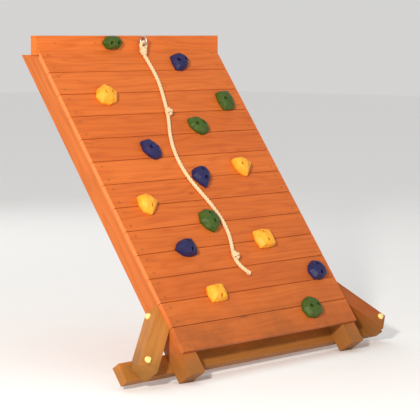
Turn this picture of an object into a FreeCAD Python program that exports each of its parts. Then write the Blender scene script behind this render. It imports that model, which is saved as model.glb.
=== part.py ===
"""Rock climbing wall for a play tower: a sloping boarded wall on two rails, with a braced
foot, bolted-on rock holds and a knotted rope.

Millimetres, +Z up. X runs across the wall, -Y points the way the wall faces and slopes down,
+Y points into the tower. The origin is on the ground, under the middle of the wall.
Most pieces are drawn in the wall's own frame (across, up the slope, out of the boards), whose
origin is the middle of the lowest board's bottom front edge. The header has an upright frame
(across, into the tower, up) from the middle of its bottom front edge.
"""
import FreeCAD, Part
import math
import os
import Sketcher
from FreeCAD import Placement, Rotation, Vector

DIMENSIONS = [
    ("tilt", 54.5),              # degrees from the ground to the boards
    ("board_count", 13),
    ("board_long", 1200),
    ("board_wide", 120),
    ("board_gap", 2),
    ("board_thick", 20),
    ("board_ease", 3),           # rounding of the boards' long front edges
    ("rail_side", 89),           # square section of the rails and the braces
    ("rail_foot", 100),          # how far the rails run on below the lowest board
    ("brace_long", 350),
    ("brace_top", 250),          # where a brace's outer face meets its rail, up the slope
    ("beam_long", 1770),
    ("beam_thick", 45),
    ("beam_drop", 44),           # how far the beam reaches below the lowest board
    ("header_long", 1230),
    ("header_high", 89),
    ("header_thick", 38),
    ("header_shows", 69),        # part of the header above the boards
    ("deck_hole", 3.3),          # radius, for 6 mm screws into the tower's deck beam
    ("deck_hole_out", 500),
    ("deck_hole_in", 240),
    ("deck_hole_drop", 34),      # from the header's top edge to the row of holes
    ("screw_edge", 25),          # board screws' distance from the boards' long edges
    ("screw_shank", 2.5),
    ("screw_head", 5),
    ("screw_sink", 3),
    ("screw_long", 60),
    ("play", 0.15),              # radial clearance round screws and bolts in their holes
    ("header_screw", 3.5),
    ("header_screw_long", 160),
    ("header_screw_out", 22),    # each side of a rail's middle
    ("header_screw_head", 8),
    ("header_screw_sink", 6),
    ("hold_bolt", 4),            # radius of the M8 bolts that carry the holds
    ("hold_bolt_long", 40),
    ("hold_bolt_space", 22),     # each bolt's distance from the hold's middle
    ("hold_bolt_head", 7.2),
    ("hold_seat", 14),           # height of the bolt heads' seat above the boards
    ("hold_sink", 9),
    ("hold_clear", 4.6),
    ("washer_thick", 1.6),
    ("tnut_barrel", 5),
    ("tnut_barrel_long", 11),
    ("tnut_flange", 11),
    ("tnut_thick", 1.5),
    ("tnut_recess", 4),
    ("foot_bolt", 5),            # radius of the M10 bolts at the foot
    ("foot_head", 9),
    ("foot_head_high", 6.5),
    ("foot_washer", 13),
    ("foot_washer_thick", 2.5),
    ("foot_nut_high", 8),
    ("brace_bolt_along", 322),   # from the brace's top, along its outer face
    ("brace_bolt_in", 28),       # and in from that face
    ("lag_along", 42),
    ("lag_deep", 72),            # behind the boards' faces
    ("lag_long", 110),
    ("cap_radius", 15),
    ("cap_high", 14),
    ("cap_wall", 2.5),
    ("rope_radius", 9),
    ("knot_radius", 20),
    ("eye_across", 50),
    ("eye_drop", 25),            # from the header's top edge to the middle of the eye
    ("eye_out", 30),
    ("eye_ring", 20),
    ("eye_wire", 4.5),
    ("eye_shank_long", 42),
    ("loop_radius", 18),         # the rope's loop through the eye, at the rope's middle
]

# Rock shapes: eight corner radii in turn from the first bolt, the crown's shift and its height
ROCK_SHAPES = {
    "crimp": {"radii": (58, 48, 39, 46, 56, 48, 40, 50), "shift": (4, 4), "high": 42},
    "wedge": {"radii": (44, 46, 60, 45, 43, 54, 42, 55), "shift": (0, 9), "high": 50},
    "lump": {"radii": (52, 46, 52, 45, 49, 53, 47, 50), "shift": (-5, 6), "high": 47},
    "prow": {"radii": (60, 46, 45, 52, 46, 49, 53, 44), "shift": (-7, 2), "high": 46},
    "slab": {"radii": (44, 55, 46, 56, 43, 54, 48, 58), "shift": (5, 7), "high": 44},
    "sliver": {"radii": (60, 43, 33, 42, 58, 42, 32, 44), "shift": (6, 3), "high": 42},
}
# Sections of a rock: their height, their spread and how far they follow the crown's shift
ROCK_LEVELS = {
    "base": (0.0, 1.0, 0.0),
    "belly": (0.3, 1.02, 0.15),
    "shoulder": (0.72, 0.84, 0.6),
    "crown": (1.0, 0.44, 1.0),
}
# Each hold: name, shape, corners that the shape is turned by, its stretch across and up the
# slope, its middle across and up the slope, and whether its bolts stand one above the other
HOLDS = [
    ("hold_blue_top", "prow", 5, (1.05, 1.0), 273, 1500, False),
    ("hold_yellow_top", "lump", 0, (1.28, 1.05), -327, 1320, False),
    ("hold_green_right", "slab", 2, (1.0, 1.22), 459, 1264, False),
    ("hold_green_upper", "crimp", 7, (1.1, 1.02), 179, 1132, False),
    ("hold_blue_left", "crimp", 3, (1.08, 1.12), -210, 1014, False),
    ("hold_yellow_right", "wedge", 1, (1.06, 1.0), 338, 885, False),
    ("hold_blue_middle", "prow", 4, (1.06, 1.05), 27, 852, True),
    ("hold_yellow_left", "prow", 6, (1.06, 1.06), -405, 732, True),
    ("hold_green_middle", "lump", 2, (1.22, 1.1), -66, 617, True),
    ("hold_yellow_lower", "slab", 4, (1.14, 1.16), 233, 489, True),
    ("hold_blue_lower", "wedge", 0, (1.0, 1.18), -296, 488, True),
    ("hold_blue_right", "lump", 3, (1.02, 1.04), 481, 283, True),
    ("hold_yellow_foot", "slab", 0, (0.94, 1.18), -245, 244, True),
    ("hold_green_foot", "lump", 5, (1.18, 1.1), 316, 98, False),
]
# The top hold sits on the header, measured across and down from its top edge
HEADER_HOLD = ("hold_green_top", "sliver", 0, (1.06, 1.0), -142, 34)

# The rope's route in the wall's frame, from the knot at the eye to its free end
ROPE_ROUTE = [
    (52, 1546, 14),
    (62, 1497, 9.8),
    (67, 1437, 9.6),
    (62, 1372, 9.6),
    (46, 1308, 9.6),
    (30, 1250, 9.6),
    (16, 1204, 9.6),
    (-6, 1154, 9.6),
    (-34, 1100, 9.6),
    (-57, 1036, 9.6),
    (-69, 965, 9.6),
    (-67, 892, 9.6),
    (-51, 824, 9.6),
    (-24, 760, 9.6),
    (2, 696, 9.6),
    (20, 630, 9.6),
    (24, 565, 9.6),
    (14, 505, 9.6),
    (-6, 455, 9.6),
    (-20, 415, 9.6),
    (-17, 378, 9.6),
    (2, 345, 9.6),
    (28, 318, 9.6),
]
ROPE_ARC_SHARE = 0.45
MIDDLE_KNOT = Vector(19, 1211, 20.4)
END_KNOT = Vector(-18, 414, 20.4)
KNOT_BELOW_LOOP = 8

doc = FreeCAD.newDocument("climbing_wall")
sheet = doc.addObject("Spreadsheet::Sheet", "Dims")


class Size:
    """A length with its value now and the text that binds a property to the sheet."""

    def __init__(self, value, text):
        self.value = value
        self.text = text

    def __add__(self, other):
        other = as_size(other)
        return Size(self.value + other.value, "(%s + %s)" % (self.text, other.text))

    def __sub__(self, other):
        other = as_size(other)
        return Size(self.value - other.value, "(%s - %s)" % (self.text, other.text))

    def __mul__(self, other):
        other = as_size(other)
        return Size(self.value * other.value, "(%s * %s)" % (self.text, other.text))

    def __truediv__(self, other):
        other = as_size(other)
        return Size(self.value / other.value, "(%s / %s)" % (self.text, other.text))

    def __neg__(self):
        return Size(-self.value, "(0 - %s)" % self.text)


def as_size(number):
    if isinstance(number, Size):
        return number
    return Size(float(number), "(%r)" % float(number))


dim = {}
for row, (alias, number) in enumerate(DIMENSIONS, start=1):
    sheet.set("A%d" % row, alias)
    sheet.set("B%d" % row, str(number))
    sheet.setAlias("B%d" % row, alias)
    dim[alias] = Size(float(number), "Dims." + alias)
doc.recompute()

tilt = math.radians(dim["tilt"].value)
sin_tilt = Size(math.sin(tilt), "sin(Dims.tilt)")
cos_tilt = Size(math.cos(tilt), "cos(Dims.tilt)")
tan_tilt = Size(math.tan(tilt), "tan(Dims.tilt)")
pitch = dim["board_wide"] + dim["board_gap"]
wall_long = dim["board_count"] * pitch - dim["board_gap"]
rail_back = dim["board_thick"] + dim["rail_side"]
beam_back = rail_back + dim["beam_thick"]
rail_middle = (dim["board_long"] - dim["rail_side"]) / 2
beam_middle = dim["rail_side"] / 2 - dim["beam_drop"]
# The rails' lower back edges stand on the ground
foot_height = dim["rail_foot"] * sin_tilt + rail_back * cos_tilt
header_front = wall_long * cos_tilt
header_lap = dim["header_high"] - dim["header_shows"]
header_base = foot_height + wall_long * sin_tilt - header_lap


def level_cut(depth):
    """How far up the slope the rails' level upper end lies, at a depth behind the board faces."""
    return wall_long - header_lap / sin_tilt + depth / tan_tilt


# The model reaches from the rails' lower front edges to their upper back edges
front_most = dim["board_thick"] * sin_tilt - dim["rail_foot"] * cos_tilt
back_most = level_cut(rail_back) * cos_tilt + rail_back * sin_tilt
wall_start = -(front_most.value + back_most.value) / 2

WALL = Placement(Vector(0, wall_start, foot_height.value),
                 Rotation(Vector(1, 0, 0), dim["tilt"].value))
HEADER = Placement(Vector(0, wall_start + header_front.value, header_base.value), Rotation())
# Turns a piece that stands out of the boards so that it stands out of the header's front
FACING_OUT = Rotation(Vector(1, 0, 0), 90)
# From the header's frame into the wall's
HEADER_IN_WALL = WALL.inverse() * HEADER

nodes = []


def keep(piece, placement=None):
    """Give a finished piece its place and take it into the list of nodes."""
    if placement is not None:
        piece.Placement = placement
    nodes.append(piece)
    return piece


def at(x, y, z=0):
    return Placement(Vector(x, y, z), Rotation())


# ---------------------------------------------------------------- PartDesign helpers

def new_body(label):
    body = doc.addObject("PartDesign::Body", label)
    body.Label = label
    return body


def new_sketch(body, plane, name, lift=None):
    """A sketch on one of the body's own origin planes, lifted off it if asked."""
    sketch = body.newObject("Sketcher::SketchObject", body.Label + "_" + name)
    support = [face for face in body.Origin.OriginFeatures if face.Role == plane][0]
    sketch.AttachmentSupport = (support, [""])
    sketch.MapMode = "FlatFace"
    if lift is not None:
        sketch.AttachmentOffset = at(0, 0, lift.value)
        sketch.setExpression("AttachmentOffset.Base.z", lift.text)
    return sketch


def pin(sketch, geometry, corner, point):
    """Hold one point of a sketch at two sizes from its origin."""
    for kind, amount in zip(("DistanceX", "DistanceY"), point):
        amount = as_size(amount)
        rule = Sketcher.Constraint(kind, -1, 1, geometry, corner, amount.value)
        number = sketch.addConstraint(rule)
        sketch.setExpression("Constraints[%d]" % number, amount.text)


def draw_outline(sketch, points):
    """A closed outline of straight lines through points given as sizes."""
    corners = [Vector(as_size(x).value, as_size(y).value, 0) for x, y in points]
    for i, corner in enumerate(corners):
        following = corners[(i + 1) % len(corners)]
        sketch.addGeometry(Part.LineSegment(corner, following), False)
    for i in range(len(corners)):
        sketch.addConstraint(Sketcher.Constraint("Coincident", i, 2, (i + 1) % len(corners), 1))
    for i, point in enumerate(points):
        pin(sketch, i, 1, point)


def draw_circles(sketch, centres, radius):
    for i, (x, y) in enumerate(centres):
        middle = Vector(as_size(x).value, as_size(y).value, 0)
        sketch.addGeometry(Part.Circle(middle, Vector(0, 0, 1), radius.value), False)
        pin(sketch, i, 3, (x, y))
        number = sketch.addConstraint(Sketcher.Constraint("Radius", i, radius.value))
        sketch.setExpression("Constraints[%d]" % number, radius.text)


def pad(body, sketch, length, midplane=False, reverse=False):
    feature = body.newObject("PartDesign::Pad", sketch.Label + "_pad")
    feature.Profile = sketch
    feature.Length = length.value
    feature.setExpression("Length", length.text)
    feature.Midplane = midplane
    feature.Reversed = reverse
    doc.recompute()


def must_cut(body, name, before):
    if body.Shape.Volume > before - 1:
        raise RuntimeError("%s: %s cuts nothing" % (body.Label, name))


def bore(body, plane, name, centres, radius, lift=None, depth=None, reverse=False, taper=0):
    """Round holes cut from a plane of the body, to a depth or right through."""
    sketch = new_sketch(body, plane, name, lift)
    draw_circles(sketch, centres, radius)
    before = body.Shape.Volume
    cut = body.newObject("PartDesign::Pocket", body.Label + "_" + name + "_cut")
    cut.Profile = sketch
    if depth is None:
        cut.Type = "ThroughAll"
    else:
        cut.Length = depth.value
        cut.setExpression("Length", depth.text)
    cut.Reversed = reverse
    cut.TaperAngle = taper
    doc.recompute()
    must_cut(body, name, before)
    return cut


def drill(body, name, base, direction, radius, depth):
    """A round hole from a point along any direction."""
    before = body.Shape.Volume
    hole = body.newObject("PartDesign::SubtractiveCylinder", body.Label + "_" + name)
    hole.Radius = radius.value
    hole.setExpression("Radius", radius.text)
    hole.Height = depth.value
    hole.setExpression("Height", depth.text)
    hole.Placement = Placement(base, Rotation(Vector(0, 0, 1), direction))
    doc.recompute()
    must_cut(body, name, before)


def ease(body, radius, wanted):
    """Round the edges along X whose middle point wanted() accepts."""
    names = []
    for number, edge in enumerate(body.Shape.Edges, start=1):
        middle = edge.valueAt((edge.FirstParameter + edge.LastParameter) / 2)
        along = edge.tangentAt(edge.FirstParameter)
        if abs(along.x) > 0.99 and wanted(middle):
            names.append("Edge%d" % number)
    unrounded = body.Tip
    rounding = body.newObject("PartDesign::Fillet", body.Label + "_ease")
    rounding.Base = (unrounded, names)
    rounding.Radius = radius.value
    rounding.setExpression("Radius", radius.text)
    doc.recompute()


# ---------------------------------------------------------------- Part helpers

def primitive(kind, name, sizes, placement=None):
    """A Part primitive with its sizes bound to the sheet."""
    thing = doc.addObject("Part::" + kind, name)
    for size_name, amount in sizes.items():
        amount = as_size(amount)
        setattr(thing, size_name, amount.value)
        thing.setExpression(size_name, amount.text)
    if placement is not None:
        thing.Placement = placement
    return thing


def fuse(name, pieces):
    thing = doc.addObject("Part::MultiFuse", name)
    thing.Shapes = pieces
    return thing


def cut(name, base, tool):
    thing = doc.addObject("Part::Cut", name)
    thing.Base = base
    thing.Tool = tool
    return thing


def group(label, pattern, placements):
    """One node that holds a copy of the pattern piece at each placement."""
    doc.recompute()
    copies = []
    for placement in placements:
        copy = pattern.Shape.copy()
        copy.Placement = placement
        copies.append(copy)
    node = doc.addObject("Part::Feature", label)
    node.Label = label
    node.Shape = Part.Compound(copies)
    return keep(node)


# ---------------------------------------------------------------- places that pieces share

def brace_point(side, along, inward):
    """A point of a brace in the wall's frame: down its outer face from the top, and in."""
    half = math.sqrt(0.5)
    x = side * (dim["board_long"].value / 2 + half * (along - inward))
    return Vector(x, dim["brace_top"].value - half * (along + inward), 0)


def brace_inward(side):
    """The direction from a brace's outer face to its inner one, in the wall's frame."""
    return Vector(-side, -1, 0)


def lag_start(side):
    point = brace_point(side, dim["lag_along"].value, 0)
    return Vector(point.x, point.y, -dim["lag_deep"].value)


def header_screw_places():
    """Across places of the two long screws over each rail."""
    out = dim["header_screw_out"].value
    return [side * rail_middle.value + step for side in (-1, 1) for step in (-out, out)]


def hold_placement(across, up, upright):
    """Where a hold stands; one whose bolts stand upright is turned a quarter."""
    turn = Rotation(Vector(0, 0, 1), 90 if upright else 0)
    return WALL * Placement(Vector(across, up, 0), turn)


def header_hold_placement():
    across, drop = HEADER_HOLD[4:]
    return HEADER * Placement(Vector(across, 0, dim["header_high"].value - drop), FACING_OUT)


def hold_bolt_places(across, up, upright):
    """Both bolts of a hold, across and up the slope."""
    step = dim["hold_bolt_space"].value
    if upright:
        return [(across, up - step), (across, up + step)]
    return [(across - step, up), (across + step, up)]


# ---------------------------------------------------------------- timber

def make_rail(label, side):
    """A square rail, cut square at the foot and level under the header and the deck."""
    body = new_body(label)
    front = -dim["board_thick"]
    sketch = new_sketch(body, "YZ_Plane", "profile")
    draw_outline(sketch, [
        (-dim["rail_foot"], front),
        (level_cut(dim["board_thick"]), front),
        (level_cut(rail_back), -rail_back),
        (-dim["rail_foot"], -rail_back),
    ])
    pad(body, sketch, dim["rail_side"], midplane=True)
    steps = (dim["screw_edge"], dim["board_wide"] - dim["screw_edge"])
    pilots = bore(body, "XY_Plane", "pilots", [(0, step) for step in steps],
                  dim["screw_shank"] + dim["play"], lift=front,
                  depth=dim["screw_long"] - dim["board_thick"] + 1)
    reach = pitch * (dim["board_count"] - 1)
    row = body.newObject("PartDesign::LinearPattern", label + "_pilot_row")
    row.Originals = [pilots]
    row.Direction = (pilots.Profile[0], ["V_Axis"])
    row.Length = reach.value
    row.setExpression("Length", reach.text)
    row.Occurrences = int(dim["board_count"].value)
    body.Tip = row
    doc.recompute()
    bore(body, "XY_Plane", "beam_pilot", [(0, beam_middle)], dim["foot_bolt"] + dim["play"],
         lift=-rail_back, depth=dim["lag_long"] - dim["beam_thick"] + 2, reverse=True)
    rail_x = side * rail_middle.value
    drill(body, "lag_pilot", lag_start(side) - Vector(rail_x, 0, 0), brace_inward(side),
          dim["foot_bolt"] + dim["play"], dim["lag_long"] + 2)
    down = HEADER_IN_WALL.Rotation.multVec(Vector(0, 0, -1))
    for number, across in enumerate(header_screw_places()):
        if across * side > 0:
            top = Vector(across, dim["header_thick"].value / 2, 2)
            drill(body, "header_pilot_%d" % number,
                  HEADER_IN_WALL.multVec(top) - Vector(rail_x, 0, 0), down,
                  dim["header_screw"] + dim["play"],
                  dim["header_screw_long"] - dim["header_high"] + 10)
    return keep(body, WALL * at(rail_x, 0))


def make_brace(label, side):
    """A square brace in the wall's plane, mitred against its rail and cut square below."""
    body = new_body(label)
    width = dim["rail_side"] * -side
    sketch = new_sketch(body, "XY_Plane", "profile", lift=-dim["board_thick"])
    draw_outline(sketch, [
        (0, 0),
        (dim["brace_long"], 0),
        (dim["brace_long"], width),
        (dim["rail_side"], width),
    ])
    pad(body, sketch, dim["rail_side"], reverse=True)
    hole = dim["foot_bolt"] + dim["play"]
    bore(body, "XY_Plane", "beam_bolt",
         [(dim["brace_bolt_along"], dim["brace_bolt_in"] * -side)], hole)
    drill(body, "lag_hole", Vector(dim["lag_along"].value, side, -dim["lag_deep"].value),
          Vector(0, -side, 0), hole, dim["rail_side"] + 2)
    turn = Rotation(Vector(0, 0, 1), -90 + side * 45)
    top = brace_point(side, 0, 0)
    return keep(body, WALL * Placement(top, turn))


def make_beam():
    """The cross beam behind the rails and braces, just clear of the ground."""
    body = new_body("cross_beam")
    sketch = new_sketch(body, "YZ_Plane", "profile")
    draw_outline(sketch, [
        (-dim["beam_drop"], -rail_back),
        (-dim["beam_drop"], -beam_back),
        (dim["rail_side"] - dim["beam_drop"], -beam_back),
        (dim["rail_side"] - dim["beam_drop"], -rail_back),
    ])
    pad(body, sketch, dim["beam_long"], midplane=True)
    holes = []
    for side in (-1, 1):
        holes.append((rail_middle * side, beam_middle))
        bolt = brace_point(side, dim["brace_bolt_along"].value, dim["brace_bolt_in"].value)
        holes.append((bolt.x, bolt.y))
    bore(body, "XY_Plane", "bolts", holes, dim["foot_bolt"] + dim["play"], lift=-rail_back)
    return keep(body, WALL)


def make_board(number):
    """One sloping board; the highest is bevelled to stand against the header."""
    body = new_body("board_%02d" % (number + 1))
    last = number + 1 == int(dim["board_count"].value)
    bevel = dim["board_thick"] * tan_tilt if last else as_size(0)
    sketch = new_sketch(body, "YZ_Plane", "profile")
    draw_outline(sketch, [
        (0, 0),
        (0, -dim["board_thick"]),
        (dim["board_wide"] - bevel, -dim["board_thick"]),
        (dim["board_wide"], 0),
    ])
    pad(body, sketch, dim["board_long"], midplane=True)
    upper_limit = dim["board_wide"].value - (1 if last else -1)
    ease(body, dim["board_ease"], lambda point: abs(point.z) < 0.1 and point.y < upper_limit)
    screws = []
    for across in (-rail_middle, rail_middle):
        for step in (dim["screw_edge"], dim["board_wide"] - dim["screw_edge"]):
            screws.append((across, step))
    bore(body, "XY_Plane", "screws", screws, dim["screw_shank"] + dim["play"])
    slope = math.degrees(math.atan(
        (dim["screw_head"].value - dim["screw_shank"].value) / dim["screw_sink"].value))
    bore(body, "XY_Plane", "countersinks", screws, dim["screw_head"] + dim["play"],
         depth=dim["screw_sink"], taper=-slope)
    start = number * pitch.value
    bolts = []
    for _, _, _, _, across, up, upright in HOLDS:
        for x, y in hold_bolt_places(across, up, upright):
            if start < y < start + dim["board_wide"].value:
                bolts.append((x, y - start))
    if bolts:
        bore(body, "XY_Plane", "hold_bolts", bolts, dim["tnut_barrel"] + dim["play"])
    return keep(body, WALL * at(0, start))


def make_header():
    """The upright board that closes the wall's top and screws to the tower's deck beam."""
    body = new_body("header_board")
    sketch = new_sketch(body, "YZ_Plane", "profile")
    draw_outline(sketch, [
        (0, 0),
        (dim["header_thick"], 0),
        (dim["header_thick"], dim["header_high"]),
        (0, dim["header_high"]),
    ])
    pad(body, sketch, dim["header_long"], midplane=True)
    ease(body, dim["board_ease"], lambda point: point.z > dim["header_high"].value - 1)
    row = dim["header_high"] - dim["deck_hole_drop"]
    places = [(dim[name] * side, row) for name in ("deck_hole_out", "deck_hole_in")
              for side in (-1, 1)]
    bore(body, "XZ_Plane", "deck_holes", places, dim["deck_hole"])
    across, drop = HEADER_HOLD[4:]
    step = dim["hold_bolt_space"]
    bolts = [(step * sign + across, dim["header_high"] - drop) for sign in (-1, 1)]
    bore(body, "XZ_Plane", "hold_bolts", bolts, dim["tnut_barrel"] + dim["play"])
    bore(body, "XZ_Plane", "tnut_recess", bolts, dim["tnut_flange"] + 1,
         lift=-dim["header_thick"], depth=dim["tnut_recess"], reverse=True)
    bore(body, "XZ_Plane", "eye_pilot",
         [(dim["eye_across"], dim["header_high"] - dim["eye_drop"])],
         dim["hold_bolt"] + dim["play"], depth=dim["header_thick"] - 4)
    screws = [(across, dim["header_thick"] / 2) for across in header_screw_places()]
    bore(body, "XY_Plane", "screws", screws, dim["header_screw"] + dim["play"],
         lift=dim["header_high"])
    bore(body, "XY_Plane", "screw_sinks", screws, dim["header_screw_head"] + 1,
         lift=dim["header_high"], depth=dim["header_screw_sink"])
    return keep(body, HEADER)


# ---------------------------------------------------------------- holds

def make_hold(label, shape, turn, stretch, placement):
    """A faceted rock, lofted through its four sections, with two sunk bolt holes."""
    body = new_body(label)
    rock = ROCK_SHAPES[shape]
    radii = rock["radii"]
    corner = math.radians(360 / len(radii))
    spin = Rotation(Vector(0, 0, 1), math.degrees(turn * corner))
    shift = spin.multVec(Vector(*rock["shift"]))
    sketches = []
    for name, (level, spread, drift) in ROCK_LEVELS.items():
        sketch = new_sketch(body, "XY_Plane", name, as_size(rock["high"] * level))
        points = []
        for i in range(len(radii)):
            reach = radii[(i - turn) % len(radii)] * spread
            x = reach * math.cos(i * corner) + shift.x * drift
            y = reach * math.sin(i * corner) + shift.y * drift
            points.append((round(x * stretch[0], 2), round(y * stretch[1], 2)))
        draw_outline(sketch, points)
        sketches.append(sketch)
    doc.recompute()
    loft = body.newObject("PartDesign::AdditiveLoft", label + "_loft")
    loft.Profile = sketches[0]
    loft.Sections = sketches[1:]
    loft.Ruled = True
    doc.recompute()
    bolts = [(dim["hold_bolt_space"] * sign, 0) for sign in (-1, 1)]
    bore(body, "XY_Plane", "bolt_holes", bolts, dim["hold_clear"], lift=dim["hold_seat"])
    bore(body, "XY_Plane", "bolt_sinks", bolts, dim["hold_sink"], lift=dim["hold_seat"],
         reverse=True)
    return keep(body, placement)


def all_hold_bolts():
    """Placements of every hold bolt, its axis out of the surface and its base on it."""
    places = []
    for _, _, _, _, across, up, upright in HOLDS:
        for x, y in hold_bolt_places(across, up, upright):
            places.append((WALL * at(x, y), dim["board_thick"].value))
    step = dim["hold_bolt_space"].value
    for sign in (-1, 1):
        place = header_hold_placement() * at(sign * step, 0)
        places.append((place, dim["header_thick"].value - dim["tnut_recess"].value))
    return places


def make_hold_fasteners():
    """Button-head bolts, their washers, and the T-nuts behind the boards and the header."""
    long = dim["hold_bolt_long"]
    shank = primitive("Cylinder", "hold_bolt_shank",
                      {"Radius": dim["hold_bolt"], "Height": long}, at(0, 0, -long.value))
    head = primitive("Cone", "hold_bolt_head_cone",
                     {"Radius1": dim["hold_bolt_head"], "Radius2": 5, "Height": 4.4})
    socket = primitive("Prism", "hold_bolt_socket", {"Circumradius": 2.9, "Height": 3},
                       at(0, 0, 1.9))
    socket.Polygon = 6
    bolt = cut("hold_bolt_pattern", fuse("hold_bolt_solid", [shank, head]), socket)
    disc = primitive("Cylinder", "hold_washer_disc",
                     {"Radius": dim["hold_sink"] - 0.6, "Height": dim["washer_thick"]})
    hole = primitive("Cylinder", "hold_washer_hole",
                     {"Radius": dim["hold_bolt"] + dim["play"], "Height": dim["washer_thick"]})
    washer = cut("hold_washer_pattern", disc, hole)
    flange = primitive("Cylinder", "tnut_flange_disc",
                       {"Radius": dim["tnut_flange"], "Height": dim["tnut_thick"]},
                       at(0, 0, -dim["tnut_thick"].value))
    barrel = primitive("Cylinder", "tnut_barrel_tube",
                       {"Radius": dim["tnut_barrel"], "Height": dim["tnut_barrel_long"]})
    thread = primitive("Cylinder", "tnut_thread",
                       {"Radius": dim["hold_bolt"] + dim["play"], "Height": 20}, at(0, 0, -4))
    tnut = cut("tnut_pattern", fuse("tnut_solid", [flange, barrel]), thread)
    places = all_hold_bolts()
    seat = dim["hold_seat"].value
    under_head = seat + dim["washer_thick"].value
    group("hold_bolts", bolt, [place * at(0, 0, under_head) for place, _ in places])
    group("hold_washers", washer, [place * at(0, 0, seat) for place, _ in places])
    group("t_nuts", tnut, [place * at(0, 0, -deep) for place, deep in places])


# ---------------------------------------------------------------- fasteners of the frame

def make_board_screws():
    """Countersunk screws, two through each board into each rail."""
    sink = dim["screw_sink"]
    shank = primitive("Cylinder", "screw_shank_rod",
                      {"Radius": dim["screw_shank"], "Height": dim["screw_long"] - sink},
                      at(0, 0, -dim["screw_long"].value))
    head = primitive("Cone", "screw_head_cone",
                     {"Radius1": dim["screw_shank"], "Radius2": dim["screw_head"],
                      "Height": sink}, at(0, 0, -sink.value))
    pattern = fuse("board_screw_pattern", [shank, head])
    places = []
    for number in range(int(dim["board_count"].value)):
        for side in (-1, 1):
            for step in (dim["screw_edge"], dim["board_wide"] - dim["screw_edge"]):
                up = number * pitch.value + step.value
                places.append(WALL * at(side * rail_middle.value, up))
    group("board_screws", pattern, places)


def make_header_screws():
    """Long screws down through the header into the rails' level ends."""
    long = dim["header_screw_long"]
    shank = primitive("Cylinder", "header_screw_rod",
                      {"Radius": dim["header_screw"], "Height": long}, at(0, 0, -long.value))
    head = primitive("Cylinder", "header_screw_disc",
                     {"Radius": dim["header_screw_head"], "Height": 3})
    pattern = fuse("header_screw_pattern", [shank, head])
    top = dim["header_high"].value - dim["header_screw_sink"].value
    places = [HEADER * at(across, dim["header_thick"].value / 2, top)
              for across in header_screw_places()]
    group("header_screws", pattern, places)


def foot_bolt_pattern(name, long):
    """A dome-headed bolt whose head starts at its base and whose shank goes down."""
    shank = primitive("Cylinder", name + "_shank",
                      {"Radius": dim["foot_bolt"], "Height": long}, at(0, 0, -long.value))
    head = primitive("Cone", name + "_head", {"Radius1": dim["foot_head"],
                                              "Radius2": dim["foot_head"] - 3,
                                              "Height": dim["foot_head_high"]})
    return fuse(name + "_pattern", [shank, head])


def make_foot_fasteners():
    """Bolts through braces and beam, and lag screws into the rails from brace and beam."""
    rise = dim["foot_washer_thick"].value
    front = -dim["board_thick"].value
    back = -beam_back.value
    bolt_heads = []
    bolt_ends = []
    brace_lags = []
    rail_lags = []
    for side in (-1, 1):
        bolt = brace_point(side, dim["brace_bolt_along"].value, dim["brace_bolt_in"].value)
        bolt_heads.append(WALL * at(bolt.x, bolt.y, front))
        bolt_ends.append(WALL * at(bolt.x, bolt.y, back))
        outward = Rotation(Vector(0, 0, 1), brace_inward(side) * -1)
        brace_lags.append(WALL * Placement(lag_start(side), outward))
        beam_spot = Vector(side * rail_middle.value, beam_middle.value, back)
        rail_lags.append(WALL * Placement(beam_spot, Rotation(Vector(1, 0, 0), 180)))

    nut_room = dim["foot_nut_high"] + dim["foot_washer_thick"] * 2 + 3
    bolt = foot_bolt_pattern("brace_bolt", beam_back - dim["board_thick"] + nut_room)
    lag = foot_bolt_pattern("lag_screw", dim["lag_long"])
    washer = cut("foot_washer_pattern",
                 primitive("Cylinder", "foot_washer_disc",
                           {"Radius": dim["foot_washer"], "Height": dim["foot_washer_thick"]}),
                 primitive("Cylinder", "foot_washer_hole",
                           {"Radius": dim["foot_bolt"] + dim["play"],
                            "Height": dim["foot_washer_thick"]}))
    nut_body = primitive("Prism", "foot_nut_body",
                         {"Circumradius": dim["foot_head"], "Height": dim["foot_nut_high"]})
    nut_body.Polygon = 6
    nut = cut("foot_nut_pattern", nut_body,
              primitive("Cylinder", "foot_nut_hole",
                        {"Radius": dim["foot_bolt"] + dim["play"],
                         "Height": dim["foot_nut_high"]}))
    heads = bolt_heads + brace_lags + rail_lags
    nut_drop = rise + dim["foot_nut_high"].value
    group("brace_bolts", bolt, [place * at(0, 0, rise) for place in bolt_heads])
    group("brace_lag_screws", lag, [place * at(0, 0, rise) for place in brace_lags])
    group("rail_lag_screws", lag, [place * at(0, 0, rise) for place in rail_lags])
    group("foot_washers", washer, heads + [place * at(0, 0, -rise) for place in bolt_ends])
    group("foot_nuts", nut, [place * at(0, 0, -nut_drop) for place in bolt_ends])
    group("bolt_caps", make_cap_pattern(), bolt_heads + brace_lags)


def make_cap_pattern():
    """A round plastic cover over a bolt head: a rim, a tapered crown and a hollow."""
    radius = dim["cap_radius"]
    rim_high = 5
    rim = primitive("Cylinder", "cap_rim", {"Radius": radius, "Height": rim_high})
    crown = primitive("Cone", "cap_crown",
                      {"Radius1": radius, "Radius2": radius * 0.62,
                       "Height": dim["cap_high"] - rim_high}, at(0, 0, rim_high))
    hollow_low = primitive("Cylinder", "cap_hollow_low",
                           {"Radius": dim["foot_washer"] + dim["play"], "Height": 4})
    hollow_high = primitive("Cylinder", "cap_hollow_high",
                            {"Radius": dim["foot_head"] + 1,
                             "Height": dim["cap_high"] - dim["cap_wall"]})
    hollow = fuse("cap_hollow", [hollow_low, hollow_high])
    return cut("cap_pattern", fuse("cap_solid", [rim, crown]), hollow)


# ---------------------------------------------------------------- rope

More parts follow.
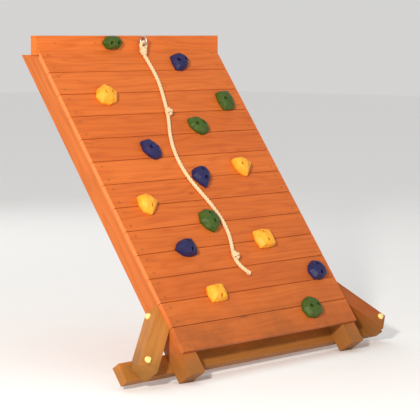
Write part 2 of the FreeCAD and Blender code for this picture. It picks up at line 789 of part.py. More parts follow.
def rope_wire(points, share):
    """Straight runs joined by tangent arcs through hand-set points; prints each arc's radius."""
    edges = []
    radii = []
    start = points[0]
    for i in range(1, len(points) - 1):
        before = points[i - 1] - points[i]
        after = points[i + 1] - points[i]
        shorter = min(before.Length, after.Length)
        turn = math.pi - before.getAngle(after)
        radius = share * shorter / math.tan(turn / 2)
        before.normalize()
        after.normalize()
        setback = share * shorter
        arc_start = points[i] + before * setback
        arc_end = points[i] + after * setback
        bisector = before + after
        bisector.normalize()
        to_centre = radius / math.cos(turn / 2)
        arc_middle = points[i] + bisector * (to_centre - radius)
        edges.append(Part.LineSegment(start, arc_start).toShape())
        edges.append(Part.Arc(arc_start, arc_middle, arc_end).toShape())
        radii.append(radius)
        start = arc_end
    edges.append(Part.LineSegment(start, points[-1]).toShape())
    print("rope arc radii, mm:", [round(radius) for radius in radii])
    return Part.Wire(edges)


def make_rope():
    """The rope lying down the boards from its knot at the eye to its free end."""
    points = [WALL.multVec(Vector(*point)) for point in ROPE_ROUTE]
    wire = rope_wire(points, ROPE_ARC_SHARE)
    radius = dim["rope_radius"].value
    first_run = points[1] - points[0]
    ring = Part.Wire(Part.makeCircle(radius, points[0], first_run))
    tube = wire.makePipeShell([ring], True, False)
    section = math.pi * radius ** 2
    print("rope length, mm: %.1f  volume over section times length: %.5f"
          % (wire.Length, tube.Volume / (section * wire.Length)))
    rope = doc.addObject("Part::Feature", "rope")
    rope.Label = "rope"
    rope.Shape = tube
    return keep(rope)


def knot_ball(name, centre):
    """A knot's outer shape, from its middle in the wall's frame."""
    return primitive("Sphere", name, {"Radius": dim["knot_radius"]},
                     WALL * Placement(centre, Rotation()))


def make_knots(rope):
    """Knots round the rope, and the one at its top with the loop through the eye."""
    for label, centre in (("rope_middle_knot", MIDDLE_KNOT), ("rope_end_knot", END_KNOT)):
        knot = cut(label, knot_ball(label + "_ball", centre), rope)
        knot.Label = label
        keep(knot)
    ring_wire = dim["header_high"] - dim["eye_drop"] - dim["eye_ring"]
    contact = dim["eye_wire"] + dim["rope_radius"] + 0.5
    loop_middle = ring_wire + contact - dim["loop_radius"]
    facing = Rotation(Vector(1, 0, 0), 90)
    loop = primitive("Torus", "rope_loop",
                     {"Radius1": dim["loop_radius"], "Radius2": dim["rope_radius"]},
                     HEADER * Placement(Vector(dim["eye_across"].value, -dim["eye_out"].value,
                                               loop_middle.value), facing))
    knot_up = loop_middle.value - dim["loop_radius"].value - KNOT_BELOW_LOOP
    centre = HEADER_IN_WALL.multVec(
        Vector(dim["eye_across"].value, -dim["eye_out"].value, knot_up))
    ball = knot_ball("rope_eye_knot_ball", centre)
    knot = cut("rope_eye_knot", fuse("rope_eye_knot_solid", [loop, ball]), rope)
    knot.Label = "rope_eye_knot"
    keep(knot)


def make_screw_eye():
    """The ring with a screw shank that the rope's loop passes through."""
    facing = Rotation(Vector(0, 1, 0), 90)
    up = dim["header_high"].value - dim["eye_drop"].value
    across = dim["eye_across"].value
    ring = primitive("Torus", "screw_eye_ring",
                     {"Radius1": dim["eye_ring"], "Radius2": dim["eye_wire"]},
                     Placement(Vector(across, -dim["eye_out"].value, up), facing))
    start = dim["eye_ring"].value - dim["eye_out"].value
    shank = primitive("Cylinder", "screw_eye_shank",
                      {"Radius": dim["hold_bolt"], "Height": dim["eye_shank_long"]},
                      Placement(Vector(across, start, up), Rotation(Vector(1, 0, 0), -90)))
    eye = fuse("screw_eye", [ring, shank])
    eye.Label = "screw_eye"
    keep(eye, HEADER)


# ---------------------------------------------------------------- build and write

for rail_label, rail_side in (("rail_left", -1), ("rail_right", 1)):
    make_rail(rail_label, rail_side)
for brace_label, brace_side in (("brace_left", -1), ("brace_right", 1)):
    make_brace(brace_label, brace_side)
make_beam()
for board_number in range(int(dim["board_count"].value)):
    make_board(board_number)
make_header()
make_hold(*HEADER_HOLD[:4], header_hold_placement())
for hold in HOLDS:
    make_hold(*hold[:4], hold_placement(*hold[4:]))
make_hold_fasteners()
make_board_screws()
make_header_screws()
make_foot_fasteners()
make_screw_eye()
make_knots(make_rope())
doc.recompute()

for thing in doc.Objects:
    if "Invalid" in thing.State or "Error" in thing.State:
        raise RuntimeError("%s failed: %s" % (thing.Name, thing.State))
for node in nodes:
    if node.Shape.isNull() or not node.Shape.isValid():
        raise RuntimeError("%s has no valid shape" % node.Label)

os.makedirs("parts", exist_ok=True)
for node in nodes:
    node.Shape.exportStep("parts/%s.step" % node.Label)
whole = Part.Compound([node.Shape for node in nodes])
print("nodes:", len(nodes), " solids:", len(whole.Solids))
print("box, mm:", whole.BoundBox)
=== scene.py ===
"""A rock climbing wall of stained timber, with moulded rock holds and a knotted rope.

Metres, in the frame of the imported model: X across the wall, -Y the way it faces, +Z up.
"""
import math
import bmesh
import bpy
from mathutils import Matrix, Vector, noise


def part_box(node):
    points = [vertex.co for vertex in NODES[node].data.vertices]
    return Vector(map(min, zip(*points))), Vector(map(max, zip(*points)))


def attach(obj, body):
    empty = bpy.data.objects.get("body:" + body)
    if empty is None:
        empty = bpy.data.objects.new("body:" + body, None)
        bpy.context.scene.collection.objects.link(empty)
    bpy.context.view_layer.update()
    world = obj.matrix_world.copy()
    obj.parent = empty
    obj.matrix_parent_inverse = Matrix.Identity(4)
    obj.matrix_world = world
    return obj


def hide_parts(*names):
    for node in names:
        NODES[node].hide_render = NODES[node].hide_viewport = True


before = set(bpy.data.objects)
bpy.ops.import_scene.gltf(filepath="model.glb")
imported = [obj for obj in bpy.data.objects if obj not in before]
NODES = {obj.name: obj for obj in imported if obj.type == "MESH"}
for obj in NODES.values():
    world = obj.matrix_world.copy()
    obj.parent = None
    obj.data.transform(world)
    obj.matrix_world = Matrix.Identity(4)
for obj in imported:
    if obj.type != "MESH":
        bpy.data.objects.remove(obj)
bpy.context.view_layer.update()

# ---------------------------------------------------------------- places

TILT = math.radians(54.5)
UP_SLOPE = Vector((0, math.cos(TILT), math.sin(TILT)))
OUT = Vector((0, -math.sin(TILT), math.cos(TILT)))
BOARD_PITCH = 0.122
BOARD_THICK = 0.020
BOARD_COUNT = 13
EYE_DROP = 0.025
EYE_RING = 0.020
EYE_WIRE = 0.0045
EYE_OUT = 0.030
EYE_ACROSS = 0.050
ROPE_RADIUS = 0.009
ROPE_OUT = 0.0096        # the rope's middle above the boards
LOOP_RADIUS = 0.018      # the rope's loop in the eye, as the CAD has it
KNOT_BELOW_LOOP = 0.008

# The lowest board's box gives the wall's own origin: its bottom front edge
lowest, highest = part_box("board_01")
WALL_START = Vector((0, lowest.y, lowest.z + BOARD_THICK * math.cos(TILT)))
header_low, header_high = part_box("header_board")


def on_wall(across, up, out=0.0):
    """A point from its place across, up the slope and out of the boards."""
    return WALL_START + Vector((across, 0, 0)) + UP_SLOPE * up + OUT * out


# ---------------------------------------------------------------- camera, light and floor

CAMERA_AT = Vector((-6.182, -5.814, 1.507))
CAMERA_AIM = Vector((0.045, -0.053, 0.685))
KEY_AT = (-6.5, -3.9, 3.1)
KEY_AIM = (0, 0, 0.7)
BACK_AT = (2.5, 5.5, 4.0)
BACK_AIM = (0, 0, 0.8)
SKY_STRENGTH = 0.66
FLOOR_SIZE = 30

camera = bpy.data.cameras.new("camera")
camera.lens = 155
camera.sensor_width = 36
camera_object = bpy.data.objects.new("camera", camera)
bpy.context.collection.objects.link(camera_object)
camera_object.location = CAMERA_AT
camera_object.rotation_euler = (CAMERA_AIM - CAMERA_AT).to_track_quat("-Z", "Y").to_euler()
bpy.context.scene.camera = camera_object


def area_light(name, place, aim, size, power, colour):
    """A square lamp that shines from a place towards its aim; power is in watts."""
    light = bpy.data.lights.new(name, "AREA")
    light.size = size
    light.energy = power
    light.color = colour
    lamp = bpy.data.objects.new(name, light)
    lamp.location = place
    lamp.rotation_euler = (Vector(aim) - Vector(place)).to_track_quat("-Z", "Y").to_euler()
    bpy.context.collection.objects.link(lamp)


area_light("key", KEY_AT, KEY_AIM, 0.5, 600, (1.0, 0.95, 0.88))
area_light("back", BACK_AT, BACK_AIM, 4.0, 60, (1.0, 1.0, 1.0))

world = bpy.data.worlds.new("studio")
world.use_nodes = True
sky = world.node_tree.nodes["Background"]
sky.inputs["Color"].default_value = (1.0, 0.99, 0.98, 1)
sky.inputs["Strength"].default_value = SKY_STRENGTH
bpy.context.scene.world = world
bpy.context.scene.view_settings.view_transform = "Standard"


# ---------------------------------------------------------------- material helpers

class Shader:
    """A material's node tree, with short calls for its nodes."""

    def __init__(self, name):
        self.material = bpy.data.materials.new(name)
        self.material.use_nodes = True
        self.tree = self.material.node_tree
        self.tree.nodes.clear()
        self.bsdf = self.node("ShaderNodeBsdfPrincipled")
        output = self.node("ShaderNodeOutputMaterial")
        self.link(self.bsdf.outputs[0], output.inputs[0])

    def node(self, kind, **settings):
        """A node of the tree, with its settings."""
        made = self.tree.nodes.new(kind)
        for key, value in settings.items():
            setattr(made, key, value)
        return made

    def link(self, source, target):
        self.tree.links.new(source, target)

    def put(self, target, value):
        """Link a socket, or set a plain value."""
        if isinstance(value, bpy.types.NodeSocket):
            self.link(value, target)
        else:
            target.default_value = value

    def maths(self, operation, first, second=0.0, clamp=False):
        made = self.node("ShaderNodeMath", operation=operation, use_clamp=clamp)
        self.put(made.inputs[0], first)
        self.put(made.inputs[1], second)
        return made.outputs[0]

    def dot(self, vector, direction):
        made = self.node("ShaderNodeVectorMath", operation="DOT_PRODUCT")
        self.link(vector, made.inputs[0])
        made.inputs[1].default_value = direction
        return made.outputs["Value"]

    def join(self, x, y, z):
        made = self.node("ShaderNodeCombineXYZ")
        for socket, value in zip(made.inputs, (x, y, z)):
            self.put(socket, value)
        return made.outputs[0]

    def noise(self, vector, scale, detail=3.0, roughness=0.5, distortion=0.0):
        """Fractal noise from 0 to 1."""
        made = self.node("ShaderNodeTexNoise")
        self.link(vector, made.inputs["Vector"])
        made.inputs["Scale"].default_value = scale
        made.inputs["Detail"].default_value = detail
        made.inputs["Roughness"].default_value = roughness
        made.inputs["Distortion"].default_value = distortion
        return made.outputs["Fac"]

    def random(self, value):
        made = self.node("ShaderNodeTexWhiteNoise", noise_dimensions="1D")
        self.link(value, made.inputs["W"])
        return made.outputs["Value"]

    def ramp(self, factor, stops):
        """A colour ramp; a stop is (place, colour) or (place, grey)."""
        made = self.node("ShaderNodeValToRGB")
        self.link(factor, made.inputs[0])
        elements = made.color_ramp.elements
        while len(elements) < len(stops):
            elements.new(0.5)
        for element, (place, colour) in zip(elements, stops):
            element.position = place
            if not isinstance(colour, tuple):
                colour = (colour, colour, colour)
            element.color = (*colour, 1)
        return made.outputs[0]

    def mix(self, factor, first, second, blend="MIX"):
        """One colour blended into another by a factor."""
        made = self.node("ShaderNodeMix", data_type="RGBA", blend_type=blend)
        self.put(made.inputs["Factor"], factor)
        for socket, value in ((made.inputs[6], first), (made.inputs[7], second)):
            if isinstance(value, tuple):
                value = (*value, 1)
            self.put(socket, value)
        return made.outputs[2]

    def bump(self, height, strength, distance):
        made = self.node("ShaderNodeBump")
        made.inputs["Strength"].default_value = strength
        made.inputs["Distance"].default_value = distance
        self.link(height, made.inputs["Height"])
        return made.outputs[0]

    def finish(self, colour, roughness, normal=None):
        self.put(self.bsdf.inputs["Base Color"], colour)
        self.put(self.bsdf.inputs["Roughness"], roughness)
        if normal is not None:
            self.link(normal, self.bsdf.inputs["Normal"])
        return self.material


def wood(name, along, across, deep, early, late, dirt, soil, ends=None, piece=None,
         seed=0.0):
    """Stained timber: streaks and fibres along one direction, flat-sawn arches, knots, dirt.

    piece is (direction, pitch, start): the timber changes at every pitch, as from board to
    board. ends is (low, high) along the grain, where the paler end grain shows. dirt gives
    the share of soil colour at a place.
    """
    shader = Shader(name)
    place = shader.node("ShaderNodeTexCoord").outputs["Object"]
    x = shader.dot(place, along)
    y = shader.dot(place, across)
    z = shader.dot(place, deep)
    tone = 0.5
    shift = seed
    if piece:
        direction, pitch, start = piece
        step = shader.maths("SUBTRACT", shader.dot(place, direction), start)
        number = shader.maths("FLOOR", shader.maths("DIVIDE", step, pitch))
        tone = shader.random(shader.maths("ADD", number, 7.31 + seed))
        shift = shader.maths("MULTIPLY", shader.random(shader.maths("ADD", number, 2.17)), 37.0)
    x_moved = shader.maths("ADD", x, shift)
    y_moved = shader.maths("ADD", y, shift)

    def stretched(along_rate, across_rate, detail, rough=0.5):
        """Noise drawn out along the grain; the rates are features to a metre."""
        spot = shader.join(shader.maths("MULTIPLY", x_moved, along_rate),
                           shader.maths("MULTIPLY", y_moved, across_rate),
                           shader.maths("MULTIPLY", z, across_rate))
        return shader.noise(spot, 1.0, detail, rough)

    warp = stretched(1.3, 11.0, 2.0)
    arches = shader.maths("SINE", shader.maths(
        "ADD", shader.maths("MULTIPLY", warp, 46.0), shader.maths("MULTIPLY", y_moved, 130.0)))
    arches = shader.maths("MULTIPLY", shader.maths("ADD", arches, 1.0), 0.5)
    arches = shader.maths("POWER", arches, 2.2)
    streaks = stretched(1.6, 95.0, 4.0, 0.6)
    fibres = stretched(9.0, 620.0, 3.0, 0.6)
    cells = shader.node("ShaderNodeTexVoronoi", feature="F1")
    shader.link(shader.join(shader.maths("MULTIPLY", x_moved, 2.3),
                            shader.maths("MULTIPLY", y_moved, 7.5),
                            shader.maths("MULTIPLY", z, 7.5)), cells.inputs["Vector"])
    cells.inputs["Scale"].default_value = 1.0
    knots = shader.ramp(cells.outputs["Distance"], [(0.0, 1.0), (0.05, 0.8), (0.085, 0.0)])
    grain = shader.maths("ADD", shader.maths("MULTIPLY", streaks, 0.62),
                         shader.maths("ADD", shader.maths("MULTIPLY", arches, 0.14),
                                      shader.maths("MULTIPLY", fibres, 0.28)))
    colour = shader.mix(shader.ramp(grain, [(0.36, 0.0), (0.8, 1.0)]), early, late)
    if piece:
        dark = shader.mix(1.0, colour, (0.84, 0.74, 0.66), "MULTIPLY")
        colour = shader.mix(shader.ramp(tone, [(0.1, 0.0), (0.95, 0.7)]), colour, dark)
    colour = shader.mix(shader.maths("MULTIPLY", knots, 0.7), colour,
                        tuple(0.4 * part for part in late))
    if ends:
        past = shader.maths("MAXIMUM", shader.maths("GREATER_THAN", x, ends[1] - 0.0004),
                            shader.maths("LESS_THAN", x, ends[0] + 0.0004))
        rings = shader.ramp(stretched(1.0, 210.0, 2.0), [(0.3, 0.0), (0.8, 1.0)])
        face = shader.mix(rings, tuple(min(1.0, part * 1.1 + 0.04) for part in early),
                          tuple(part * 0.98 + 0.01 for part in early))
        colour = shader.mix(past, colour, face)
    colour = shader.mix(dirt(shader, place), colour, soil)
    height = shader.maths("SUBTRACT", shader.maths("ADD", shader.maths("MULTIPLY", fibres, 0.7),
                                                   shader.maths("MULTIPLY", streaks, 0.6)),
                          shader.maths("MULTIPLY", knots, 0.3))
    rough = shader.ramp(fibres, [(0.3, 0.5), (0.75, 0.68)])
    shader.bsdf.inputs["Specular IOR Level"].default_value = 0.3
    return shader.finish(colour, rough, shader.bump(height, 0.35, 0.001))


def no_dirt(shader, place):
    """Clean timber."""
    return 0.0


def foot_dirt(shader, place):
    """Soil and damp near the ground, with an uneven upper edge."""
    high = shader.dot(place, (0, 0, 1))
    uneven = shader.maths("MULTIPLY", shader.noise(place, 9.0, 4.0, 0.6), 0.16)
    above = shader.maths("SUBTRACT", high, uneven)
    return shader.ramp(above, [(0.0, 0.75), (0.05, 0.45), (0.1, 0.0)])


def low_board_darkening(shader, place):
    """Darker towards the bottom of the boards, in blotches."""
    up = shader.maths("SUBTRACT", shader.dot(place, tuple(UP_SLOPE)), WALL_START.dot(UP_SLOPE))
    low = shader.ramp(up, [(0.0, 1.0), (0.24, 0.32), (0.9, 0.06)])
    marks = shader.ramp(shader.noise(place, 7.0, 6.0, 0.65), [(0.4, 0.0), (0.8, 0.6)])
    return shader.maths("MULTIPLY", low, shader.maths("ADD", marks, 0.5), clamp=True)


X = (1, 0, 0)
UP = tuple(UP_SLOPE)
DEEP = tuple(OUT)
RED_EARLY = (0.70, 0.168, 0.025)
RED_LATE = (0.50, 0.094, 0.011)
GOLD_EARLY = (0.54, 0.142, 0.028)
GOLD_LATE = (0.39, 0.085, 0.011)
BROWN_EARLY = (0.49, 0.19, 0.033)
BROWN_LATE = (0.36, 0.115, 0.016)
BEAM_EARLY = (0.74, 0.23, 0.04)
BEAM_LATE = (0.54, 0.14, 0.018)
# Painted shade: the right brace's darker timber colours stand in for the boards' shadow falling
# on it
SHADED_BRACE_EARLY = (0.40, 0.095, 0.012)
SHADED_BRACE_LATE = (0.27, 0.055, 0.005)
RED_DARKENING = (0.27, 0.075, 0.014)
OLIVE_SOIL = (0.21, 0.095, 0.016)
boards_start = WALL_START.dot(UP_SLOPE) - 0.001
board_wood = wood("board_wood", X, UP, DEEP, RED_EARLY, RED_LATE, low_board_darkening, RED_DARKENING,
                  (lowest.x, highest.x), (UP, BOARD_PITCH, boards_start))
header_wood = wood("header_wood", X, (0, 0, 1), (0, 1, 0), RED_EARLY, RED_LATE, no_dirt,
                   RED_DARKENING, seed=3.7)
rail_wood = wood("rail_wood", UP, X, DEEP, GOLD_EARLY, GOLD_LATE, foot_dirt, OLIVE_SOIL,
                 seed=1.3)
beam_wood = wood("beam_wood", X, UP, DEEP, BEAM_EARLY, BEAM_LATE, foot_dirt, OLIVE_SOIL,
                 seed=5.9)


def brace_wood(side, early, late):
    """A brace's timber: its grain runs outwards and down the slope at 45 degrees."""
    half = math.sqrt(0.5)
    along = Vector((side * half, 0, 0)) - UP_SLOPE * half
    over = Vector((side * half, 0, 0)) + UP_SLOPE * half
    return wood("brace_wood_%s" % ("left" if side < 0 else "right"), tuple(along), tuple(over),
                DEEP, early, late, foot_dirt, OLIVE_SOIL, seed=8.2 + side)


def plastic_rock(name, colour, dark):
    """Cast resin with sand in it: a fine grit, a little marbling, and a painted highlight that
    lightens convex edges.
    """
    shader = Shader(name)
    place = shader.node("ShaderNodeTexCoord").outputs["Object"]
    marbling = shader.noise(place, 26.0, 4.0, 0.6, 1.2)
    grit = shader.noise(place, 900.0, 2.0, 0.6)
    pits = shader.noise(place, 240.0, 3.0, 0.7)
    tint = shader.mix(shader.ramp(marbling, [(0.35, 0.0), (0.7, 0.8)]), colour, dark)
    tint = shader.mix(shader.ramp(grit, [(0.55, 0.0), (0.8, 0.5)]), tint,
                      tuple(min(1.0, part * 1.5 + 0.03) for part in colour))
    # Painted highlight: convex edges, found by their pointiness, are lightened
    edge = shader.node("ShaderNodeNewGeometry").outputs["Pointiness"]
    tint = shader.mix(shader.ramp(edge, [(0.52, 0.0), (0.6, 0.35)]), tint,
                      tuple(min(1.0, part * 1.3 + 0.06) for part in colour))
    height = shader.maths("ADD", shader.maths("MULTIPLY", grit, 0.5), pits)
    rough = shader.ramp(pits, [(0.3, 0.38), (0.7, 0.55)])
    shader.bsdf.inputs["Specular IOR Level"].default_value = 0.3
    return shader.finish(tint, rough, shader.bump(height, 0.5, 0.0008))


rock = {
    "blue": plastic_rock("blue_resin", (0.016, 0.015, 0.085), (0.009, 0.009, 0.045)),
    "green": plastic_rock("green_resin", (0.05, 0.095, 0.009), (0.024, 0.052, 0.004)),
    "yellow": plastic_rock("yellow_resin", (0.88, 0.40, 0.03), (0.76, 0.27, 0.012)),
}


def steel(name, colour, scale):
    """Zinc-plated steel: a cloudy spangle, fine scratches and a few dull spots."""
    shader = Shader(name)
    place = shader.node("ShaderNodeTexCoord").outputs["Object"]
    cloud = shader.noise(place, scale, 3.0, 0.6)
    scratch = shader.noise(place, scale * 9, 2.0, 0.7)
    tint = shader.mix(cloud, colour, tuple(part * 0.72 for part in colour))
    shader.bsdf.inputs["Metallic"].default_value = 1.0
    rough = shader.ramp(scratch, [(0.3, 0.26), (0.75, 0.5)])
    return shader.finish(tint, rough, shader.bump(scratch, 0.15, 0.0003))


zinc = steel("zinc_steel", (0.66, 0.66, 0.64), 160.0)
coated = steel("coated_screw", (0.62, 0.22, 0.06), 300.0)


def cap_plastic():
    """Cream-yellow caps with a slight haze."""
    shader = Shader("cap_plastic")
    place = shader.node("ShaderNodeTexCoord").outputs["Object"]
    haze = shader.noise(place, 90.0, 3.0, 0.6)
    tint = shader.mix(haze, (0.93, 0.71, 0.27), (0.86, 0.60, 0.17))
    rough = shader.ramp(haze, [(0.3, 0.22), (0.7, 0.36)])
    return shader.finish(tint, rough, shader.bump(haze, 0.08, 0.0005))


def rope_fibre():
    """Cream rope: yarns laid across each strand with painted shade in the grooves between them,
    fuzz and soiling.
    """
    shader = Shader("rope_fibre")
    place = shader.node("ShaderNodeTexCoord").outputs["Object"]
    uv = shader.node("ShaderNodeUVMap").outputs["UV"]
    # Yarns wind round each strand: stripes slanting across its unrolled skin, the grooves between
    # yarns darker as painted shade
    lean = shader.dot(uv, (1.0, 2.0, 0.0))
    yarn_relief_and_groove_shade = shader.maths("SINE", shader.maths("MULTIPLY", lean, 2 * math.pi * 3))
    yarn_relief_and_groove_shade = shader.maths("MULTIPLY", shader.maths("ADD", yarn_relief_and_groove_shade, 1.0), 0.5)
    fuzz = shader.noise(place, 1400.0, 3.0, 0.7)
    soil = shader.noise(place, 34.0, 4.0, 0.6)
    # Painted shade: the low parts of the yarn stripes take the darker colour
    tint = shader.mix(yarn_relief_and_groove_shade, (0.60, 0.38, 0.17), (0.90, 0.70, 0.42))
    tint = shader.mix(shader.ramp(fuzz, [(0.5, 0.0), (0.8, 0.45)]), tint, (0.94, 0.80, 0.56))
    tint = shader.mix(shader.ramp(soil, [(0.5, 0.0), (0.75, 0.35)]), tint, (0.5, 0.33, 0.17))
    shader.bsdf.inputs["Sheen Weight"].default_value = 0.3
    height = shader.maths("ADD", yarn_relief_and_groove_shade, shader.maths("MULTIPLY", fuzz, 0.5))
    return shader.finish(tint, 0.86, shader.bump(height, 0.7, 0.0008))


cap_material = cap_plastic()
rope_material = rope_fibre()


def dress(names, material, bevel=0.0):
    """Give CAD nodes a material, and a soft edge where it has a width."""
    for name in names:
        node = NODES[name]
        for slot in node.material_slots:
            slot.material = material
        if bevel:
            edge = node.modifiers.new("edge", "BEVEL")
            edge.width = bevel
            edge.segments = 3
            edge.limit_method = "ANGLE"
            edge.angle_limit = math.radians(50)
            edge.harden_normals = False


def add_mesh(name, mesh, material):
    """A smooth-shaded visible piece, fixed to the wall."""
    mesh.materials.clear()
    mesh.materials.append(material)
    mesh.shade_smooth()
    piece = bpy.data.objects.new(name, mesh)
    bpy.context.collection.objects.link(piece)
    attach(piece, "root")
    return piece


# ---------------------------------------------------------------- rope

ROPE_ROUTE = [
    (0.052, 1.546, 0.014),
    (0.062, 1.497, 0.0098),
    (0.067, 1.437, 0.0096),
    (0.062, 1.372, 0.0096),
    (0.046, 1.308, 0.0096),
    (0.030, 1.250, 0.0096),
    (0.016, 1.204, 0.0096),
    (-0.006, 1.154, 0.0096),
    (-0.034, 1.100, 0.0096),
    (-0.057, 1.036, 0.0096),
    (-0.069, 0.965, 0.0096),
    (-0.067, 0.892, 0.0096),
    (-0.051, 0.824, 0.0096),
    (-0.024, 0.760, 0.0096),
    (0.002, 0.696, 0.0096),
    (0.020, 0.630, 0.0096),
    (0.024, 0.565, 0.0096),
    (0.014, 0.505, 0.0096),
    (-0.006, 0.455, 0.0096),
    (-0.020, 0.415, 0.0096),
    (-0.017, 0.378, 0.0096),
    (0.002, 0.345, 0.0096),
    (0.028, 0.318, 0.0096),
]


def smooth_line(points):
    """The line that a NURBS spline draws through control points, as close points."""
    curve = bpy.data.curves.new("route", "CURVE")
    curve.dimensions = "3D"
    curve.resolution_u = 24
    spline = curve.splines.new("NURBS")
    spline.points.add(len(points) - 1)
    for control, point in zip(spline.points, points):
        control.co = (*point, 1)
    spline.order_u = 3
    spline.use_endpoint_u = True
    holder = bpy.data.objects.new("route", curve)
    bpy.context.collection.objects.link(holder)
    drawn = bpy.data.meshes.new_from_object(holder.evaluated_get(
        bpy.context.evaluated_depsgraph_get()))
    line = [vertex.co.copy() for vertex in drawn.vertices]
    bpy.data.objects.remove(holder)
    return line


def evenly(line, step):
    """Points a fixed step apart along a line, both its ends included."""
    lengths = [0.0]
    for before, after in zip(line, line[1:]):
        lengths.append(lengths[-1] + (after - before).length)
    count = max(2, round(lengths[-1] / step))
    points = []
    part = 0
    for i in range(count + 1):
        wanted = lengths[-1] * i / count
        while part < len(line) - 2 and lengths[part + 1] < wanted:
            part += 1
        span = max(lengths[part + 1] - lengths[part], 1e-9)
        points.append(line[part].lerp(line[part + 1], min(1.0, (wanted - lengths[part]) / span)))
    return points, lengths[-1]


STRANDS = 3
STRAND_RADIUS = 0.0049
LAY_RADIUS = ROPE_RADIUS - STRAND_RADIUS
LAY_LENGTH = 0.052       # one full turn of the strands
SKIN_SIDES = 14
STRAND_STEP = 0.0035
YARN_REPEAT = 0.012      # rope length that the skin map's first axis counts as one
FRAY_LENGTH = 0.03
FRAY_REACH = 0.0035
TIP_ROUND = 0.002


def laid_rope(name, line, scale=1.0, frayed=False):
    """Three strands twisted round a line, as one mesh with a skin map along each strand."""
    points, length = evenly(line, STRAND_STEP)
    tangents = []
    for i in range(len(points)):
        before = points[max(i - 1, 0)]
        after = points[min(i + 1, len(points) - 1)]
        tangents.append((after - before).normalized())
    side = tangents[0].orthogonal().normalized()
    sides = []
    for tangent in tangents:
        side = (side - tangent * side.dot(tangent)).normalized()
        sides.append(side.copy())
    mesh = bmesh.new()
    skin = mesh.loops.layers.uv.new("skin")
    travel = length / (len(points) - 1)
    for strand in range(STRANDS):
        centres = []
        for i, (point, tangent, side) in enumerate(zip(points, tangents, sides)):
            turn = 2 * math.pi * (i * travel / LAY_LENGTH + strand / STRANDS)
            binormal = tangent.cross(side)
            reach = LAY_RADIUS * scale
            if frayed:
                frayed_part = max(0.0, 1 - (length - i * travel) / FRAY_LENGTH)
                reach += FRAY_REACH * frayed_part ** 2
            centres.append(point + (side * math.cos(turn) + binormal * math.sin(turn)) * reach)
        rings = []
        for i, centre in enumerate(centres):
            before = centres[max(i - 1, 0)]
            after = centres[min(i + 1, len(centres) - 1)]
            along = (after - before).normalized()
            first = (sides[i] - along * sides[i].dot(along)).normalized()
            second = along.cross(first)
            ring = []
            for k in range(SKIN_SIDES):
                angle = 2 * math.pi * k / SKIN_SIDES
                swell = 1 + 0.035 * noise.noise(centre * 160 + Vector((k, strand, 0)))
                radius = STRAND_RADIUS * scale * swell
                ring.append(mesh.verts.new(
                    centre + (first * math.cos(angle) + second * math.sin(angle)) * radius))
            rings.append(ring)
        for i in range(len(rings) - 1):
            for k in range(SKIN_SIDES):
                after = (k + 1) % SKIN_SIDES
                face = mesh.faces.new((rings[i][k], rings[i][after],
                                       rings[i + 1][after], rings[i + 1][k]))
                places = ((i, k), (i, k + 1), (i + 1, k + 1), (i + 1, k))
                for loop, (u, v) in zip(face.loops, places):
                    loop[skin].uv = (u * travel / YARN_REPEAT, v / SKIN_SIDES)
        start_tip = centres[0] - tangents[0] * TIP_ROUND
        end_tip = centres[-1] + tangents[-1] * TIP_ROUND
        for ring, place, flip in ((rings[0], start_tip, True), (rings[-1], end_tip, False)):
            tip = mesh.verts.new(place)
            for k in range(SKIN_SIDES):
                corner = (ring[k], ring[(k + 1) % SKIN_SIDES], tip)
                face = mesh.faces.new(corner[::-1] if flip else corner)
                for loop in face.loops:
                    loop[skin].uv = (0.0, 0.0)
    data = bpy.data.meshes.new(name)
    mesh.normal_update()
    mesh.to_mesh(data)
    mesh.free()
    return data, points, length


route = [on_wall(*point) for point in ROPE_ROUTE]
rope_line = smooth_line(route)
rope_mesh, rope_points, rope_length = laid_rope("rope_strands", rope_line, frayed=True)
rope = add_mesh("rope_strands", rope_mesh, rope_material)
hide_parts("rope")


KNOT_SCALE = 0.92
KNOT_STEPS = 60
KNOT_LIFT = 0.0115       # the knots' middles above the rope's


def knot_line(centre, along, out, turns=2.0, wide=0.0118, long=0.024):
    """A tight knot's outer strand: it wraps round the rope and tucks in at both ends."""
    across = along.cross(out).normalized()
    line = []
    for i in range(KNOT_STEPS + 1):
        part = i / KNOT_STEPS
        angle = 2 * math.pi * turns * part
        tuck = min(1.0, 4.5 * part, 4.5 * (1 - part))
        reach = wide * (0.25 + 0.75 * math.sin(tuck * math.pi / 2))
        lift = long * (part - 0.5) * (1 + 0.25 * math.cos(angle))
        line.append(centre + (out * math.cos(angle) + across * math.sin(angle)) * reach
                    + along * lift)
    return line


def nearest(point):
    """The rope point nearest to a point, and the rope's direction there."""
    i = min(range(1, len(rope_points) - 1), key=lambda k: (rope_points[k] - point).length)
    return rope_points[i], (rope_points[i + 1] - rope_points[i - 1]).normalized()


knots = []
for name, (across, up) in (("rope_middle_knot", (0.019, 1.211)),
                           ("rope_end_knot", (-0.018, 0.414))):
    spot, along = nearest(on_wall(across, up, ROPE_OUT))
    wraps = knot_line(spot + OUT * KNOT_LIFT, along, OUT)
    mesh, _, _ = laid_rope(name + "_strands", wraps, KNOT_SCALE)
    knot = add_mesh(name + "_strands", mesh, rope_material)
    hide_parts(name)
    knots.append(knot)

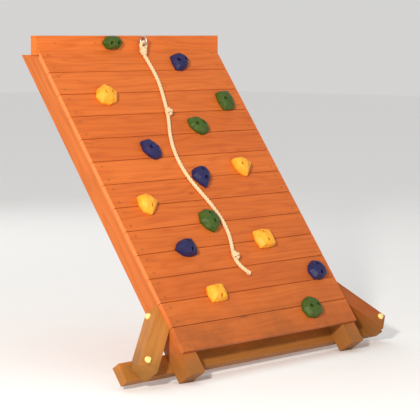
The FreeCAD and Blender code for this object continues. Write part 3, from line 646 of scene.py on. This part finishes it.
# The top knot, with its loop up through the screw eye
eye = Vector((EYE_ACROSS, header_low.y - EYE_OUT, header_high.z - EYE_DROP))
ring_bottom = eye.z - EYE_RING
loop_top = ring_bottom + EYE_WIRE + ROPE_RADIUS + 0.0005
knot_centre = Vector((eye.x, eye.y, loop_top - LOOP_RADIUS * 2 - KNOT_BELOW_LOOP))
LOOP_HALF_WIDTH = 0.0165
LOOP_TUCK = 0.004
LOOP_STEPS = 24
loop = [knot_centre + Vector((LOOP_TUCK, 0, -LOOP_TUCK))]
for i in range(LOOP_STEPS + 1):
    angle = math.radians(-60 + 300 * i / LOOP_STEPS)
    loop.append(Vector((eye.x + LOOP_HALF_WIDTH * math.cos(angle), eye.y,
                        loop_top - LOOP_RADIUS + LOOP_RADIUS * math.sin(angle))))
loop.append(knot_centre + Vector((-LOOP_TUCK, 0, -LOOP_TUCK)))
loop_mesh, _, _ = laid_rope("rope_loop", loop, 0.95)
rope_loop = add_mesh("rope_loop", loop_mesh, rope_material)
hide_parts("rope_eye_knot")
eye_wrap_line = knot_line(knot_centre, Vector((0, 0, -1)), Vector((0, -1, 0)), 2.4, 0.0115, 0.026)
wrap_mesh, _, _ = laid_rope("rope_eye_wraps", eye_wrap_line, KNOT_SCALE)
eye_wraps = add_mesh("rope_eye_wraps", wrap_mesh, rope_material)
knots += [rope_loop, eye_wraps]

# ---------------------------------------------------------------- holds

SKIN_VOXEL = 0.0022
CHIP_DEPTH = 0.0011
HOLLOW_DEPTH = 0.0016


def cast_hold(name):
    """A hold's cast skin: its facets, with softened arrises and a sandy, hand-cut surface."""
    source = NODES[name]
    data = source.data.copy()
    piece = bpy.data.objects.new(name + "_cast", data)
    bpy.context.collection.objects.link(piece)
    remesh = piece.modifiers.new("remesh", "REMESH")
    remesh.mode = "VOXEL"
    remesh.voxel_size = SKIN_VOXEL
    soften = piece.modifiers.new("soften", "SMOOTH")
    soften.factor = 0.6
    soften.iterations = 7
    shaped = bpy.data.meshes.new_from_object(piece.evaluated_get(
        bpy.context.evaluated_depsgraph_get()))
    shaped.name = name + "_cast"
    bpy.data.objects.remove(piece)
    low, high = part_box(name)
    centre = (low + high) / 2
    normals = [vertex.normal.copy() for vertex in shaped.vertices]
    for vertex, normal in zip(shaped.vertices, normals):
        local = vertex.co - centre
        chips = noise.fractal(local * 42 + centre * 9, 1.0, 2.1, 3)
        hollow = noise.noise(local * 22 + centre * 5)
        vertex.co += normal * (CHIP_DEPTH * chips + HOLLOW_DEPTH * hollow)
    tone = name.split("_")[1]
    hold = add_mesh(name + "_cast", shaped, rock[tone])
    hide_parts(name)


for node_name in NODES:
    if node_name.startswith("hold_") and node_name.split("_")[1] in rock:
        cast_hold(node_name)

# ---------------------------------------------------------------- timber and fasteners

dress(["board_%02d" % (i + 1) for i in range(BOARD_COUNT)], board_wood)
dress(["header_board"], header_wood)
dress(["rail_left", "rail_right"], rail_wood, 0.003)
dress(["brace_left"], brace_wood(-1, BROWN_EARLY, BROWN_LATE), 0.003)
# The right brace takes the darker timber, a painted shade for the boards' shadow on it
dress(["brace_right"], brace_wood(1, SHADED_BRACE_EARLY, SHADED_BRACE_LATE), 0.003)
dress(["cross_beam"], beam_wood, 0.003)
dress(["board_screws"], coated)
dress(["header_screws", "hold_bolts", "hold_washers", "t_nuts", "screw_eye",
       "brace_bolts", "rail_lag_screws", "brace_lag_screws", "foot_washers", "foot_nuts"], zinc)
dress(["bolt_caps"], cap_material, 0.0015)

# ---------------------------------------------------------------- floor

floor = bmesh.new()
bmesh.ops.create_grid(floor, x_segments=1, y_segments=1, size=FLOOR_SIZE)
floor_data = bpy.data.meshes.new("floor")
floor.to_mesh(floor_data)
floor.free()
floor_shader = Shader("floor")
floor_place = floor_shader.node("ShaderNodeTexCoord").outputs["Object"]
floor_tint = floor_shader.mix(floor_shader.noise(floor_place, 3.0), (0.95, 0.95, 0.94),
                              (0.93, 0.93, 0.92))
floor_data.materials.append(floor_shader.finish(floor_tint, 0.9))
floor_object = bpy.data.objects.new("floor", floor_data)
bpy.context.collection.objects.link(floor_object)
